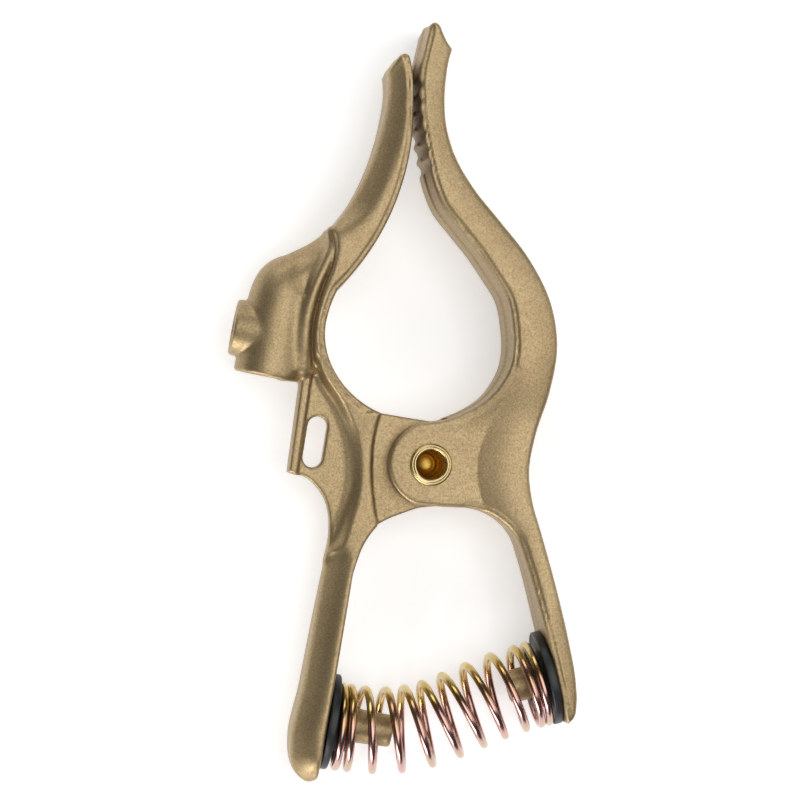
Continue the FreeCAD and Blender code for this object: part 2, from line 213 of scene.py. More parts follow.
def arc_line(centre, radius, start, end, steps=24):
    turn = np.radians(np.linspace(start, end, steps))
    return np.column_stack([centre[0] + radius * np.cos(turn), centre[1] + radius * np.sin(turn)])


def line_distance(px, py, line):
    best = np.full(px.shape, 1e9)
    for start, end in zip(line, line[1:]):
        run = end - start
        length2 = run @ run
        if length2 < 1e-12:
            continue
        t = np.clip(((px - start[0]) * run[0] + (py - start[1]) * run[1]) / length2, 0, 1)
        best = np.minimum(best, (px - start[0] - t * run[0]) ** 2 + (py - start[1] - t * run[1]) ** 2)
    return np.sqrt(best)


def tapered_distance(px, py, line):
    """Distance to a line of (x, y, radius) rows, and the line's radius at the nearest place."""
    best = np.full(px.shape, 1e9)
    radius = np.zeros(px.shape)
    for start, end in zip(line, line[1:]):
        run = end[:2] - start[:2]
        t = np.clip(((px - start[0]) * run[0] + (py - start[1]) * run[1]) / (run @ run), 0, 1)
        away = (px - start[0] - t * run[0]) ** 2 + (py - start[1] - t * run[1]) ** 2
        nearer = away < best
        best = np.where(nearer, away, best)
        radius = np.where(nearer, start[2] + t * (end[2] - start[2]), radius)
    return np.sqrt(best), radius


def loop_distance(px, py, loop):
    """Signed distance to a closed outline, negative inside."""
    closed = np.vstack([loop, loop[:1]])
    odd = np.zeros(px.shape, bool)
    for start, end in zip(closed, closed[1:]):
        if start[1] == end[1]:
            continue
        crosses = (start[1] > py) != (end[1] > py)
        odd ^= crosses & (px < (end[0] - start[0]) * (py - start[1]) / (end[1] - start[1]) + start[0])
    distance = line_distance(px, py, closed)
    return np.where(odd, -distance, distance)


# ---- Solid fields: negative inside, in millimetres --------------------------------------------

def blend_min(a, b, width):
    """Union of two fields with a fillet."""
    share = np.clip(0.5 + 0.5 * (b - a) / width, 0, 1)
    return b + (a - b) * share - width * share * (1 - share)


def blend_max(a, b, width):
    """Overlap of two fields with a rounded edge."""
    return -blend_min(-a, -b, width)


class Grid:
    """A block of sample points round one casting."""

    def __init__(self, low, high):
        self.low = np.floor(np.array(low) / CELL) * CELL - 2 * CELL
        self.count = np.ceil((np.array(high) - self.low) / CELL).astype(int) + 3
        axes = [self.low[k] + CELL * np.arange(self.count[k]) for k in range(3)]
        self.x = axes[0][:, None, None].astype(np.float32)
        self.y = axes[1][None, :, None].astype(np.float32)
        self.z = axes[2][None, None, :].astype(np.float32)
        self.px, self.py = np.meshgrid(axes[0], axes[1], indexing="ij")

    @staticmethod
    def flat(values):
        return np.asarray(values, np.float32)[:, :, None]

    def loop(self, outline):
        return self.flat(loop_distance(self.px, self.py, outline))

    def line(self, line):
        return self.flat(line_distance(self.px, self.py, line))

    def along(self, base, direction):
        """Distance along an axis in the XY plane, and radius from it."""
        along = (self.x - base[0]) * direction[0] + (self.y - base[1]) * direction[1]
        across = (self.x - base[0]) * direction[1] - (self.y - base[1]) * direction[0]
        return along, np.sqrt(across ** 2 + self.z ** 2)

    def rod(self, base, direction, radius, length, end_radius=None):
        along, away = self.along(base, direction)
        taper = 0 if end_radius is None else (end_radius - radius) / length
        return blend_max(away - radius - taper * along, np.abs(along - length / 2) - length / 2, 0.8)

    def upright(self, centre, radius):
        return np.sqrt((self.x - centre[0]) ** 2 + (self.y - centre[1]) ** 2) - radius

    def slab(self, outline, half, edge):
        return blend_max(self.loop(outline) + DRAFT * np.abs(self.z), np.abs(self.z) - half, edge)


def rounded_drop(distance, width, drop):
    """How far a face falls within width of an edge, level at first and steepest at the edge."""
    return drop * (1 - np.cos(np.clip(1 - distance / width, 0, 1) * np.pi / 2))


def ease(share):
    """Smooth step from 0 to 1."""
    share = np.clip(share, 0, 1)
    return share * share * (3 - 2 * share)


def within(grid, low, low_fade, high, high_fade):
    """1 between two places in y, easing to 0 at each of them."""
    return ease((high - grid.y) / high_fade) * ease((grid.y - low) / low_fade)


def arm_wall(grid, outline):
    """An arm's side wall, with draft and a raised parting line."""
    parting_line = PARTING_HEIGHT * np.exp(-(grid.z / PARTING_WIDTH) ** 2)
    return grid.loop(outline) + DRAFT * np.abs(grid.z) - parting_line


def arm_height(grid, depth):
    rows = smooth_line(depth)
    return np.interp(grid.y, rows[:, 0], rows[:, 1]).astype(np.float32)


def rim_drop(grid, rims):
    """How far a face falls along its inner rims: a fine crease, then a slight slope to the edge."""
    drop = 0
    for rim in rims:
        away = grid.line(rim)
        crease = RIM_CREASE * np.exp(-((away - RIM_WIDTH) / RIM_CREASE_WIDTH) ** 2)
        drop = np.maximum(drop, crease + RIM_SLOPE * np.clip(1 - away / RIM_WIDTH, 0, 1))
    return drop


def mesh_from(grid, field, name):
    """Surface-net mesh of a field's zero level, in metres."""
    inside = field < 0
    cells = np.array(field.shape) - 1
    total = np.zeros((*cells, 3), np.float32)
    hits = np.zeros(cells, np.int16)
    crossings = []
    for axis in range(3):
        here = [slice(None)] * 3
        there = [slice(None)] * 3
        here[axis] = slice(None, -1)
        there[axis] = slice(1, None)
        a, b = field[tuple(here)], field[tuple(there)]
        i, j, k = np.nonzero(inside[tuple(here)] != inside[tuple(there)])
        share = a[i, j, k] / (a[i, j, k] - b[i, j, k])
        place = np.stack([i, j, k], axis=1).astype(np.float32)
        place[:, axis] += share
        crossings.append((axis, i, j, k, a[i, j, k] < 0))
        u, v = [other for other in range(3) if other != axis]
        for du in (0, 1):
            for dv in (0, 1):
                index = [i, j, k]
                index[u] = index[u] - du
                index[v] = index[v] - dv
                np.add.at(total, tuple(index), place)
                np.add.at(hits, tuple(index), 1)
    used = hits > 0
    number = np.full(hits.shape, -1, np.int64)
    number[used] = np.arange(used.sum())
    points = total[used] / hits[used][:, None] * CELL + grid.low
    quads = []
    for axis, i, j, k, solid_first in crossings:
        u, v = [(1, 2), (2, 0), (0, 1)][axis]
        corners = []
        for du, dv in ((0, 0), (1, 0), (1, 1), (0, 1)):
            index = [i, j, k]
            index[u] = index[u] - du
            index[v] = index[v] - dv
            corners.append(number[tuple(index)])
        quad = np.stack(corners, axis=1)
        quads.append(np.where(solid_first[:, None], quad, quad[:, ::-1]))
    return mesh_object(name, points, np.vstack(quads))


def mesh_object(name, points_mm, faces):
    """Makes a smooth-shaded Blender mesh from points in millimetres and an array or list of faces."""
    mesh = bpy.data.meshes.new(name)
    corners = faces.tolist() if isinstance(faces, np.ndarray) else faces
    mesh.from_pydata((np.asarray(points_mm) * MM).tolist(), [], corners)
    mesh.update()
    mesh.polygons.foreach_set("use_smooth", [True] * len(mesh.polygons))
    piece = bpy.data.objects.new(name, mesh)
    bpy.context.scene.collection.objects.link(piece)
    return piece


# ---- The two castings --------------------------------------------------------------------------

def lean(angle):
    """Unit vector that leans from +Y towards +X."""
    return np.array((math.sin(angle), math.cos(angle)))


SOCKET_UP = -SOCKET_DOWN
SOCKET_OUT = np.array((-SOCKET_UP[1], SOCKET_UP[0]))
SOCKET_CROSSING = SOCKET_MOUTH + SOCKET_UP * SIDE_BOSS_ALONG
LEFT_UP = lean(LEFT_TILT)
LEFT_OUT = np.array((LEFT_UP[1], -LEFT_UP[0]))
RIGHT_UP = lean(RIGHT_TILT)
RIGHT_OUT = np.array((-RIGHT_UP[1], RIGHT_UP[0]))
# The jaw faces that the teeth are cut along, from the tips down
LEFT_FACE = [(-5.3, 105.5), (-5.0, 97.0), (-5.5, 88.0), (-7.7, 79.0)]
RIGHT_CREST = [(-3.9, 104.2), (-4.2, 101.2), (-3.8, 95.0), (-2.7, 88.0), (-1.5, 82.0), (-0.3, 77.0)]


def cut_teeth(grid, field, line, side, half):
    """Rounded gaps across a jaw face, one tooth pitch apart along the line and half deep each way."""
    path = smooth_line(line, 40)
    run = np.concatenate([[0], np.cumsum(np.linalg.norm(np.diff(path, axis=0), axis=1))])
    radius = (TOOTH_HALF_CHORD ** 2 + TOOTH_DEPTH ** 2) / (2 * TOOTH_DEPTH)
    for tooth in range(TOOTH_COUNT):
        place = FIRST_TOOTH + tooth * TOOTH_PITCH
        point = np.array([np.interp(place, run, path[:, k]) for k in range(2)])
        ahead = np.array([np.interp(place + 0.2, run, path[:, k]) for k in range(2)])
        along = (ahead - point) / np.linalg.norm(ahead - point)
        outward = np.array((-along[1], along[0]))
        outward = outward if outward[0] * side > 0 else -outward
        gap = grid.upright(point + outward * (radius - TOOTH_DEPTH), radius)
        gap = blend_max(gap, np.abs(grid.z) - half, 0.5)
        field = blend_max(field, -gap, 0.45)
    return field


def add_post(grid, field, seat, out, post):
    radius, end_radius, length = post
    rod = grid.rod(seat - out * POST_SUNK, out, radius, length + POST_SUNK, end_radius)
    return blend_min(field, rod, POST_FILLET)


def left_outlines():
    """Inner and outer stretches of the cable arm's main band."""
    inner = np.vstack([
        smooth_line([(-6.2, 111.3), (-5.5, 108.4), (-5.0, 103.0), (-5.0, 97.0), (-5.5, 88.0), (-9.5, 72.0),
                     (-12.6, 65.0), (-18.0, 56.2), (-25.5, 47.5)]),
        smooth_line([(-25.5, 47.5), (-27.8, 42.0), (-28.9, 36.0), (-27.9, 29.5), (-24.2, 22.6),
                     (-18.9, 17.4), (-13.4, 14.2)]),
        smooth_line([(-13.4, 14.2), (-15.2, 7.5), (-15.9, 0.0), (-15.5, -8.5), (-14.2, -16.7)]),
        smooth_line([(-14.2, -16.7), (-17.0, -20.1), (-18.7, -23.0), (-19.9, -26.0),
                     LEFT_SEAT + LEFT_UP * 41.0]),
        [LEFT_SEAT - LEFT_UP * 13.2],
    ])
    handle = smooth_line([LEFT_SEAT - LEFT_UP * 13.2, (-31.4, -85.4), (-33.4, -86.3), (-36.4, -84.7),
                          (-38.4, -80.7), (-38.7, -75.6), (-35.6, -61.0), (-31.9, -41.8), (-28.7, -26.0)])
    waist = smooth_line([(-28.7, -26.0), (-25.3, -16.0), (-22.4, -6.0), (-22.6, 5.0), (-26.0, 15.5),
                         (-30.6, 23.8), (-32.3, 32.5), (-32.0, 38.5), (-30.9, 44.0), (-29.1, 49.4),
                         (-27.2, 54.6), (-26.4, 59.5), (-27.4, 64.2)])
    jaw = smooth_line([(-27.4, 64.2), (-26.2, 65.9), (-23.1, 69.9), (-19.5, 76.2), (-15.8, 85.1),
                       (-13.1, 95.0), (-12.0, 102.5), (-12.2, 107.4)])
    return inner, handle, waist, jaw


def left_height(grid, handle, waist, jaw):
    """Face height: crowned on the handle and jaw, and easing down to the thin web at the waist."""
    face = arm_height(grid, LEFT_DEPTH)
    jaw_crown = rounded_drop(grid.line(jaw), *JAW_CROWN)
    jaw_crown *= within(grid, *JAW_CROWN_REACH)
    past_foot = handle[FOOT_STRETCHES * CURVE_STEPS:]
    crown = np.maximum(rounded_drop(grid.line(past_foot), *HANDLE_CROWN), jaw_crown)
    beside_web = within(grid, *WAIST_REACH)
    slope_width = np.interp(grid.y, *WAIST_SLOPE)
    slope = (face - PLATE_HALF) * (1 - ease((grid.line(waist) + 0.3) / slope_width)) * beside_web
    return face - np.maximum(crown, slope)


def left_socket(grid):
    """Barrel, shoulder, the folded web behind it with its raised cord and valley, and the side boss."""
    barrel = grid.rod(SOCKET_MOUTH, SOCKET_UP, SOCKET_R, SOCKET_BARREL)
    middle = SOCKET_MOUTH + SOCKET_UP * SHOULDER_START
    top = SOCKET_MOUTH + SOCKET_UP * (SOCKET_BARREL - 1.0)
    spine = smooth_line([(*middle, SOCKET_R), (*top, SOCKET_R), (-39.2, 48.8, 8.4), (-35.0, 52.7, 6.4),
                         (-30.5, 56.6, 4.8), (-25.5, 61.4, 3.6)])
    away, radius = tapered_distance(grid.px, grid.py, spine)
    shoulder = np.sqrt(grid.flat(away) ** 2 + grid.z ** 2) - grid.flat(radius)
    tube = np.minimum(barrel, shoulder)
    fold = smooth_line([(-27.2, 63.4), (-26.9, 60.2), (-28.6, 55.3), (-31.0, 50.1), (-32.9, 44.6),
                        (-34.1, 39.0), (-34.5, 33.5), (-34.5, 28.7), (-34.3, 25.8)])
    web = np.vstack([fold, [(-40.0, 24.2), (-42.0, 34.0), (-38.0, 48.0), (-32.0, 56.5)]])
    web = grid.slab(web, WEB_HALF, WEB_EDGE)
    boss = grid.rod(SOCKET_CROSSING, SOCKET_OUT, SIDE_BOSS_ROOT_R, SIDE_BOSS_OUT, SIDE_BOSS_R)
    body = blend_min(tube, web, WEB_FILLET)
    cord_height = np.interp(grid.y, *CORD_HEIGHT)
    cord = np.sqrt(grid.line(fold) ** 2 + (np.abs(grid.z) - cord_height) ** 2) - CORD_R
    valley = grid.loop(np.vstack([fold, fold[::-1] + (2 * CORD_R, -1.0)]))
    valley = np.maximum(valley, np.abs(grid.z) - cord_height + CORD_VALLEY)
    body = blend_min(body, blend_min(cord, valley, 1.0), CORD_FILLET)
    return blend_min(body, boss, BOSS_FILLET)


def lug_plate(grid):
    """The thin plate below the socket, and the raised lip along its free edge."""
    lip_top, lip_low, toe = (-34.9, 27.0), (-38.9, -2.0), (-36.3, -2.8)
    plate = np.vstack([
        [lip_top, lip_low],
        smooth_line([toe, (-33.4, -3.9), (-30.9, -6.3), (-28.8, -9.6), (-27.7, -13.6), (-27.6, -19.0),
                     (-28.6, -26.5)]),
        [(-24.0, -20.0), (-20.0, 8.0), (-31.5, 30.0)],
    ])
    lip = np.array([lip_top, lip_low, toe, (-31.9, 27.6)])
    return grid.slab(plate, PLATE_HALF, 0.7), grid.slab(lip, LIP_HALF, 0.9)


def hinge_tongue(grid):
    """The flat tongue that runs between the fork's ears."""
    outline = np.vstack([
        smooth_line([(-19.0, 15.0), (-13.0, 14.1), (-6.0, 12.9), (1.2, 11.74)]),
        arc_line(PIVOT, EAR_R, 84, -92),
        smooth_line([(-0.4, -11.8), (-3.2, -12.2), (-6.5, -13.3), (-10.6, -14.8), (-14.8, -16.9),
                     (-18.0, -18.6)]),
    ])
    return grid.slab(outline, TONGUE_HALF, 0.5)


def cut_left_openings(grid, field):
    """Room for the ears, then the rivet's hole, the cable bore, the set screw's hole and the lug slot."""
    sweep = blend_max(grid.upright(PIVOT, EAR_R + 1.0), TONGUE_HALF - np.abs(grid.z), 0.3)
    field = np.maximum(field, -sweep)
    field = np.maximum(field, -grid.upright(PIVOT, SHANK_R + RUNNING_GAP))
    past_mouth = 3
    bore_start = SOCKET_MOUTH - SOCKET_UP * past_mouth
    bore = grid.rod(bore_start, SOCKET_UP, SOCKET_BORE_R, SOCKET_DEPTH + past_mouth)
    field = blend_max(field, -bore, 0.6)
    along, away = grid.along(SOCKET_CROSSING, SOCKET_OUT)
    field = blend_max(field, -np.maximum(away - SIDE_HOLE_R, -along), 0.6)
    run = lean(SLOT_TILT)
    slot_line = np.array([SLOT_CENTRE - run * SLOT_HALF_RUN, SLOT_CENTRE + run * SLOT_HALF_RUN])
    return blend_max(field, SLOT_R - grid.line(slot_line), 0.7)


def left_casting():
    grid = Grid(*box_mm("left_arm"))
    inner, handle, waist, jaw = left_outlines()
    outline = np.vstack([inner, handle[1:], waist[1:], jaw[1:], [(-9.2, 111.4), (-7.6, 112.2)]])
    rim_above_hinge = inner[inner[:, 1] > 16.0]
    height = left_height(grid, handle, waist, jaw) - rim_drop(grid, [rim_above_hinge])
    plate, lip = lug_plate(grid)
    field = blend_max(arm_wall(grid, outline), np.abs(grid.z) - height, EDGE_ROUND)
    field = blend_min(field, plate, 1.6)
    field = blend_min(field, left_socket(grid), 1.0)
    field = blend_min(field, lip, 0.8)
    field = blend_min(field, hinge_tongue(grid), 0.6)
    field = add_post(grid, field, LEFT_SEAT, LEFT_OUT, LEFT_POST)
    field = cut_left_openings(grid, field)
    field = cut_teeth(grid, field, LEFT_FACE, 1, LEFT_TOOTH_HALF)
    return mesh_from(grid, field, "cable_arm_casting")


def right_outlines():
    """Stretches of the fork arm: outer edge, handle's inner edge, ears and jaw's inner edge."""
    outer = smooth_line([(5.8, 113.3), (4.9, 110.4), (4.0, 105.0), (3.6, 98.6), (4.2, 91.8), (6.3, 84.8),
                         (11.6, 75.6), (18.6, 67.1), (27.1, 56.3), (33.1, 44.2), (34.9, 32.8), (32.9, 19.8),
                         (29.0, 7.6), (27.3, -2.0), (28.1, -9.8), (30.5, -18.5), (34.8, -34.6),
                         (37.8, -47.4), (40.0, -60.0), (40.2, -65.4), (39.4, -69.6),
                         RIGHT_SEAT - RIGHT_UP * 12.9])
    handle = np.vstack([
        [RIGHT_SEAT - RIGHT_UP * 12.9],
        smooth_line([RIGHT_SEAT + RIGHT_UP * 14.0, (28.5, -36.3), (25.9, -27.1), (23.2, -20.0),
                     (19.7, -16.1), (15.3, -13.4), (10.2, -12.0)]),
    ])
    ears = np.vstack([
        smooth_line([(10.2, -12.0), (3.0, -11.7), (-4.42, -10.94)]),
        arc_line(PIVOT, EAR_R, 248, 92),
        smooth_line([(-0.4, 11.8), (2.2, 12.0), (7.0, 13.4)]),
    ])
    jaw = smooth_line([(7.0, 13.4), (10.6, 15.0), (16.4, 19.2), (19.1, 22.8), (21.0, 26.6), (22.0, 32.2),
                       (21.7, 38.0), (20.4, 44.8), (16.1, 52.0), (12.6, 57.2), (7.4, 63.7), (2.2, 70.5),
                       (-0.3, 77.0), (-1.5, 82.0), (-2.7, 88.0), (-3.8, 95.0), (-4.2, 101.2), (-4.1, 106.6),
                       (-3.2, 111.0), (-2.1, 115.4), (-1.4, 118.4)])
    return outer, handle, ears, jaw


def ear_share(grid):
    """1 over the thick part of the arm and 0 over the flat ear, with a soft shoulder between."""
    crease = smooth_line([(23.2, EAR_NOTCH_Y), (19.7, 17.4), (15.4, 9.4), (12.7, 0.5), (14.0, -9.4),
                          (20.4, -20.0)])
    ear_side = np.vstack([crease, [(20.4, -34.0), (-30.0, -34.0), (-30.0, EAR_NOTCH_Y)]])
    into_body = grid.loop(ear_side)
    width = EAR_CREASE_WIDTH + EAR_SHOULDER_WIDTH * ease((EAR_NOTCH_Y + 4.0 - grid.y) / 16.0)
    return np.clip(into_body / width, 0, 1)


def right_height(grid, outer, handle, jaw):
    """Face height: crowned along the outer edge and dropping to the flat ears at the hinge."""
    crown_width, crown_drop = OUTER_CROWN
    outer_crown = crown_drop * np.clip(1 - grid.line(outer) / crown_width, 0, 1) ** 2
    height = arm_height(grid, RIGHT_DEPTH) - outer_crown
    ear = EAR_FACE + EAR_RISE * ease((grid.y - EAR_NOTCH_Y) / EAR_RISE_RUN + EAR_RISE_LEAD)
    share = ear_share(grid)
    share = share * (1.5 - 0.5 * share)
    height = np.minimum(height, ear + (height - ear) * share)
    return height - rim_drop(grid, [handle, jaw]) * (RIM_ON_EAR + (1 - RIM_ON_EAR) * share)


def fork_gap(grid):
    """The space between the ears, which the tongue turns in."""
    beside_pivot = np.maximum(grid.x - PIVOT[0], np.abs(grid.y - PIVOT[1]) - 30)
    gap = np.minimum(grid.upright(PIVOT, FORK_ROOT_R), beside_pivot)
    return blend_max(gap, np.abs(grid.z) - FORK_GAP_HALF, 0.4)


def right_casting():
    grid = Grid(*box_mm("right_arm"))
    outer, handle, ears, jaw = right_outlines()
    tip = smooth_line([(-1.4, 118.4), (-0.9, 119.8), (0.5, 120.6), (1.9, 119.8), (3.2, 117.2), (4.4, 115.0),
                       (5.8, 113.3)])
    outline = np.vstack([outer, handle[1:], ears[1:], jaw[1:], tip[1:-1]])
    height = right_height(grid, outer, handle, jaw)
    below_top = ease((PARTING_LEDGE_TOP - grid.z) / 0.6)
    beside_jaw = ease((PARTING_LEDGE_REACH - grid.line(jaw)) / 2.0)
    ledge = PARTING_LEDGE * below_top * beside_jaw
    field = blend_max(arm_wall(grid, outline) - ledge, np.abs(grid.z) - height, EDGE_ROUND)
    field = add_post(grid, field, RIGHT_SEAT, RIGHT_OUT, RIGHT_POST)
    field = np.maximum(field, -fork_gap(grid))
    field = np.maximum(field, -grid.upright(PIVOT, SHANK_R))
    field = cut_teeth(grid, field, RIGHT_CREST, -1, PAST_ANY_FACE)
    return mesh_from(grid, field, "fork_arm_casting")


# ---- Turned and wound pieces -------------------------------------------------------------------

def turned(name, profile, base, axis, segments=96, radius_at=None):
    """Revolves (radius, height) points about an axis. A radius of 0 closes an end, and a profile with
    no such end closes on itself."""
    axis = Vector(axis).normalized()
    side = axis.orthogonal().normalized()
    other = axis.cross(side)
    base = Vector(base)
    points = []
    rings = []
    for row, (radius, height) in enumerate(profile):
        if radius == 0:
            rings.append([len(points)])
            points.append(base + axis * height)
            continue
        rings.append(list(range(len(points), len(points) + segments)))
        for step in range(segments):
            turn = 2 * math.pi * step / segments
            reach = radius if radius_at is None else radius_at(row, radius, height, turn)
            points.append(base + axis * height + (side * math.cos(turn) + other * math.sin(turn)) * reach)
    faces = []
    for lower, upper in zip(rings, rings[1:]):
        for step in range(segments):
            after = (step + 1) % segments
            if len(lower) == 1:
                faces.append([lower[0], upper[after], upper[step]])
            elif len(upper) == 1:
                faces.append([lower[step], lower[after], upper[0]])
            else:
                faces.append([lower[step], lower[after], upper[after], upper[step]])
    if len(rings[0]) > 1 and len(rings[-1]) > 1:
        for step in range(segments):
            after = (step + 1) % segments
            faces.append([rings[-1][step], rings[-1][after], rings[0][after], rings[0][step]])
    return mesh_object(name, [list(point) for point in points], faces)


def flat_point(point, z=0.0):
    return (float(point[0]), float(point[1]), z)


def make_cup(name, seat, out):
    """Flanged cup: the flange backs on the handle and its hub sits inside the coil."""
    rim, face, hub, top, bore = CUP_FLANGE_R, CUP_FLANGE_DEPTH, CUP_HUB_R, CUP_HUB_TOP, CUP_BORE_R
    profile = [(bore, 0.25), (bore + 0.25, 0.0), (rim - 0.35, 0.0), (rim - 0.1, 0.1), (rim, 0.35),
               (rim, face - 0.4), (rim - 0.08, face - 0.15), (rim - 0.3, face), (rim - 0.6, face),
               (rim - 0.75, face - 0.1), (rim - 0.9, face - 0.22), (hub + 0.9, face - 0.22),
               (hub + 0.4, face - 0.1), (hub + 0.1, face + 0.2), (hub, face + 0.7), (hub - 0.08, top - 0.5),
               (hub - 0.2, top - 0.15), (hub - 0.45, top), (bore + 0.4, top), (bore + 0.1, top - 0.1),
               (bore, top - 0.4)]
    return turned(name, profile, flat_point(seat), flat_point(out), 128)


def make_rivet():
    """Hollow rivet: rolled double lip, grooved bore with a step and a floor, domed head below."""
    lip = RIVET_HIGH[2]
    head = RIVET_LOW[2]
    head_r = RIVET_HIGH[0]
    step = EAR_FACE - HOLE_DEPTH
    floor = step - 2.3
    profile = [(0, floor), (1.6, floor + 0.1), (2.6, floor + 0.5), (2.95, floor + 1.0), (2.95, step - 0.3),
               (3.1, step), (3.7, step), (HOLE_R, step + 0.2)]
    groove_half, groove_depth = 0.5, 0.17
    for groove in (-1.6, 1.0, 3.6):
        profile += [(HOLE_R, groove - groove_half), (HOLE_R + groove_depth, groove - groove_half / 2),
                    (HOLE_R + groove_depth, groove + groove_half / 2), (HOLE_R, groove + groove_half)]
    profile += [(HOLE_R, EAR_FACE), (HOLE_R + 0.04, EAR_FACE + 0.6), (4.05, lip - 0.45), (4.3, lip - 0.12),
                (4.55, lip), (4.8, lip - 0.08), (4.95, lip - 0.3), (5.02, lip - 0.42), (5.1, lip - 0.32),
                (5.25, lip - 0.3), (5.5, lip - 0.45), (5.7, lip - 0.75), (5.8, lip - 1.1), (5.75, EAR_FACE),
                (4.6, EAR_FACE), (SHANK_R, EAR_FACE - 0.15), (SHANK_R, -EAR_FACE + 0.15), (4.6, -EAR_FACE),
                (head_r - 0.1, -EAR_FACE), (head_r, -EAR_FACE - 0.15), (head_r - 0.25, -EAR_FACE - 0.45),
                (head_r * 0.8, head + 0.5), (head_r * 0.5, head + 0.15), (head_r * 0.25, head + 0.03),
                (0, head)]
    return turned("pivot_rivet_brass", profile, flat_point(PIVOT), (0, 0, 1), 96)


def make_set_screw():
    """Socket set screw with a real helical thread, a shallow cup point and a hexagon socket."""
    back, length, radius = 6.3, 4.6, 4.95
    pitch, depth = 1.5, 0.55
    hexagon = 2.5
    rows, fade_rows = 46, 6
    profile = [(0, 0.35), (2.4, 0.3), (3.2, 0.0), (3.9, 0.0)]
    thread_first = len(profile)
    profile += [(radius, 0.35 + (length - 0.6) * row / rows) for row in range(rows + 1)]
    thread_last = len(profile) - 1
    profile += [(4.0, length), (3.3, length), (hexagon + 0.45, length), (hexagon, length - 0.15),
                (hexagon, length - 2.6), (hexagon * 0.5, length - 2.9), (0, length - 3.1)]
    socket_first = thread_last + 4

    def reach(row, r, height, turn):
        if thread_first <= row <= thread_last:
            phase = (height / pitch - turn / (2 * math.pi)) % 1.0
            groove = depth * (1 - abs(2 * phase - 1))
            fade = min(1.0, (row - thread_first + 1) / fade_rows, (thread_last - row + 1) / fade_rows)
            return r - 0.35 * (1 - fade) - groove * fade
        if row >= socket_first:
            wedge = (turn + math.pi / 6) % (math.pi / 3) - math.pi / 6
            return r / math.cos(wedge)
        return r

    base = SOCKET_CROSSING + SOCKET_OUT * back
    return turned("cable_set_screw_body", profile, flat_point(base), flat_point(SOCKET_OUT), 96, reach)


def spring_line():
    """Points down the bowed middle of the spring, from one cup's face to the other's."""
    rise = CUP_FLANGE_DEPTH + WIRE_R + SPRING_CLEARANCE
    start = LEFT_SEAT + LEFT_OUT * rise - LEFT_UP * COIL_DROP
    end = RIGHT_SEAT + RIGHT_OUT * rise - RIGHT_UP * COIL_DROP
    poles = [start, start + LEFT_OUT * SPRING_END_PULL, end + RIGHT_OUT * SPRING_END_PULL, end]
    t = np.linspace(0, 1, 600)[:, None]
    return (poles[0] * (1 - t) ** 3 + poles[1] * 3 * t * (1 - t) ** 2 + poles[2] * 3 * t * t * (1 - t)
            + poles[3] * t ** 3)


def make_spring():
    """Round wire wound on the bowed line, with closed turns at both ends."""
    centre = spring_line()
    run = np.concatenate([[0], np.cumsum(np.linalg.norm(np.diff(centre, axis=0), axis=1))])
    per_turn, sides = 48, 20
    turns = (np.arange(round(TURNS * per_turn)) + 0.5) / per_turn
    open_pitch = (run[-1] - 2 * CLOSED_PITCH) / (TURNS - 2)
    openness = np.clip((np.minimum(turns, TURNS - turns) - CLOSED_TURNS) / OPENING_TURNS, 0, 1)
    advance = np.concatenate([[0], np.cumsum(CLOSED_PITCH + (open_pitch - CLOSED_PITCH) * openness)])
    advance = advance / advance[-1] * run[-1]
    spot = np.column_stack([np.interp(advance, run, centre[:, k]) for k in range(2)])
    ahead = np.gradient(spot, axis=0)
    ahead /= np.linalg.norm(ahead, axis=1)[:, None]
    angle = 2 * np.pi * np.arange(len(spot)) / per_turn
    radial = np.column_stack([-ahead[:, 1] * np.cos(angle), ahead[:, 0] * np.cos(angle), np.sin(angle)])
    wire = np.column_stack([spot, np.zeros(len(spot))]) + radial * COIL_R
    along = np.gradient(wire, axis=0)
    along /= np.linalg.norm(along, axis=1)[:, None]
    binormal = np.cross(along, radial)
    binormal /= np.linalg.norm(binormal, axis=1)[:, None]
    normal = np.cross(binormal, along)
    turn = 2 * np.pi * np.arange(sides) / sides
    ring = (np.cos(turn)[None, :, None] * normal[:, None, :]
            + np.sin(turn)[None, :, None] * binormal[:, None, :])
    points = (wire[:, None, :] + WIRE_R * ring).reshape(-1, 3)
    count = len(wire)
    faces = []
    for row in range(count - 1):
        for step in range(sides):
            after = (step + 1) % sides
            below, above = row * sides, (row + 1) * sides
            faces.append([below + step, below + after, above + after, above + step])
    points = points.tolist()
    rim_r, rim_out = 0.86 * WIRE_R, 0.15
    for row, sign in ((0, -1), (count - 1, 1)):
        rim = []
        for step in range(sides):
            rim.append(len(points))
            points.append((wire[row] + rim_r * ring[row, step] + sign * rim_out * along[row]).tolist())
        for step in range(sides):
            after = (step + 1) % sides
            quad = [row * sides + step, row * sides + after, rim[after], rim[step]]
            faces.append(quad[::-1] if sign < 0 else quad)
        faces.append(rim[::-1] if sign < 0 else rim)
    piece = mesh_object("compression_spring_wire", points, faces)
    # Height round each turn, which the wire's shader turns into painted reflection colours
    heights = np.concatenate([np.repeat(np.cos(angle), sides), np.full(2 * sides, 1.0)])
    piece.data.attributes.new("coil_height", "FLOAT", "POINT").data.foreach_set("value", heights)
    return piece, centre[0], centre[-1]


# ---- Materials ---------------------------------------------------------------------------------

